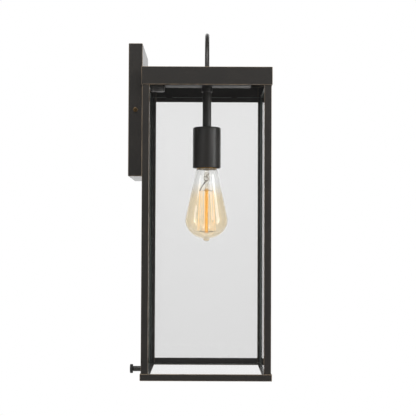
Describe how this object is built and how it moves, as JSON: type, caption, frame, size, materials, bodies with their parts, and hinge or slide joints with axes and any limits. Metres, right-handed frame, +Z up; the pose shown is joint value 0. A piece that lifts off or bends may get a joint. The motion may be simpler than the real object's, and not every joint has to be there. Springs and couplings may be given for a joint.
{
  "type": "outdoor wall lantern",
  "caption": "Square box wall lantern with clear panes, an open base, a top loop, a backplate and a hanging socket with a screw-in filament lamp.",
  "frame": {"origin": "centre of the mounting strap's back face, on the wall plane and at the centre of the wall plate", "axes": "+X out from the wall, +Y along the wall, +Z up"},
  "size_m": [0.2046, 0.1844, 0.5061],
  "materials": {
    "bronze": "satin dark bronze powder coat, worn to a warm brown on its edges",
    "clear_glass": "clear polished float glass",
    "amber_glass": "blown glass, clear at the neck and amber below",
    "brass": "rolled brass, slightly tarnished",
    "steel": "zinc plated steel",
    "porcelain": "glazed porcelain",
    "filament": "glowing wire",
    "black_glass": "fused black glass",
    "black_wire": "extruded wire insulation",
    "white_wire": "extruded wire insulation",
    "copper": "bare drawn copper wire",
    "orange_plastic": "moulded ribbed plastic",
    "green_screw": "green dyed zinc plating",
    "rubber": "matt moulded rubber"
  },
  "bodies": {
    "fixture": {"arm_coupling": "bronze", "arm_locknut": "steel", "arm_nipple": "steel", "base_frame": "bronze", "clip_back_a": "bronze", "clip_back_b": "bronze", "clip_far_a": "bronze", "clip_far_b": "bronze", "clip_front_a": "bronze", "clip_front_b": "bronze", "clip_near_a": "bronze", "clip_near_b": "bronze", "crossbar": "bronze", "ground_lead": "copper", "ground_screw": "green_screw", "ground_wire_nut": "orange_plastic", "hanging_loop": "bronze", "hot_lead": "black_wire", "hot_wire_nut": "orange_plastic", "loop_nut_far": "steel", "loop_nut_near": "steel", "mounting_strap": "steel", "neutral_lead": "white_wire", "neutral_wire_nut": "orange_plastic", "pane_back": "clear_glass", "pane_far": "clear_glass", "pane_front": "clear_glass", "pane_near": "clear_glass", "plate_screw_far": "brass", "plate_screw_near": "brass", "post_back_far": "bronze", "post_back_near": "bronze", "post_front_far": "bronze", "post_front_near": "bronze", "roof_nut_far": "steel", "roof_nut_near": "steel", "roof_screw_far": "steel", "roof_screw_near": "steel", "roof_tray": "bronze", "socket_bracket": "steel", "socket_contact": "brass", "socket_cup": "bronze", "socket_insulator": "porcelain", "socket_nut": "steel", "socket_shell": "brass", "standoff_stud": "steel", "stem": "bronze", "stem_collar": "bronze", "stem_locknut": "steel", "wall_plate": "bronze"},
    "lamp_contact": {"lamp_eyelet": "brass"},
    "lamp": {"lamp_envelope": "amber_glass", "lamp_cap": "brass", "lamp_cap_insulator": "black_glass", "lamp_mount": "clear_glass", "lamp_filament": "filament", "lead_in_wire_a": "steel", "lead_in_wire_b": "steel"},
    "standoff_pad": {"standoff_foot": "rubber"},
    "standoff_sleeve": {"standoff_barrel": "bronze"}
  },
  "joints": [
    {"name": "lamp_drop", "type": "slide", "parent": "fixture", "child": "lamp_contact", "axis": [0, 0, -1], "range_m": [0, 0.01815]},
    {"name": "lamp_turn", "type": "hinge", "parent": "lamp_contact", "child": "lamp", "pos_m": [0.11245, 0, -0.08], "axis": [0, 0, -1], "range_deg": [0, 1800]},
    {"name": "standoff_travel", "type": "slide", "parent": "fixture", "child": "standoff_pad", "axis": [1, 0, 0], "range_m": [0, 0.0042]},
    {"name": "standoff_turn", "type": "hinge", "parent": "standoff_pad", "child": "standoff_sleeve", "pos_m": [0.01, 0, -0.3776], "axis": [1, 0, 0], "range_deg": [0, 2160]}
  ],
  "couplings": [
    {"joint": "lamp_drop", "follows": "lamp_turn", "m_per_rad": 0.00057757},
    {"joint": "standoff_turn", "follows": "standoff_travel", "rad_per_m": 8976}
  ]
}
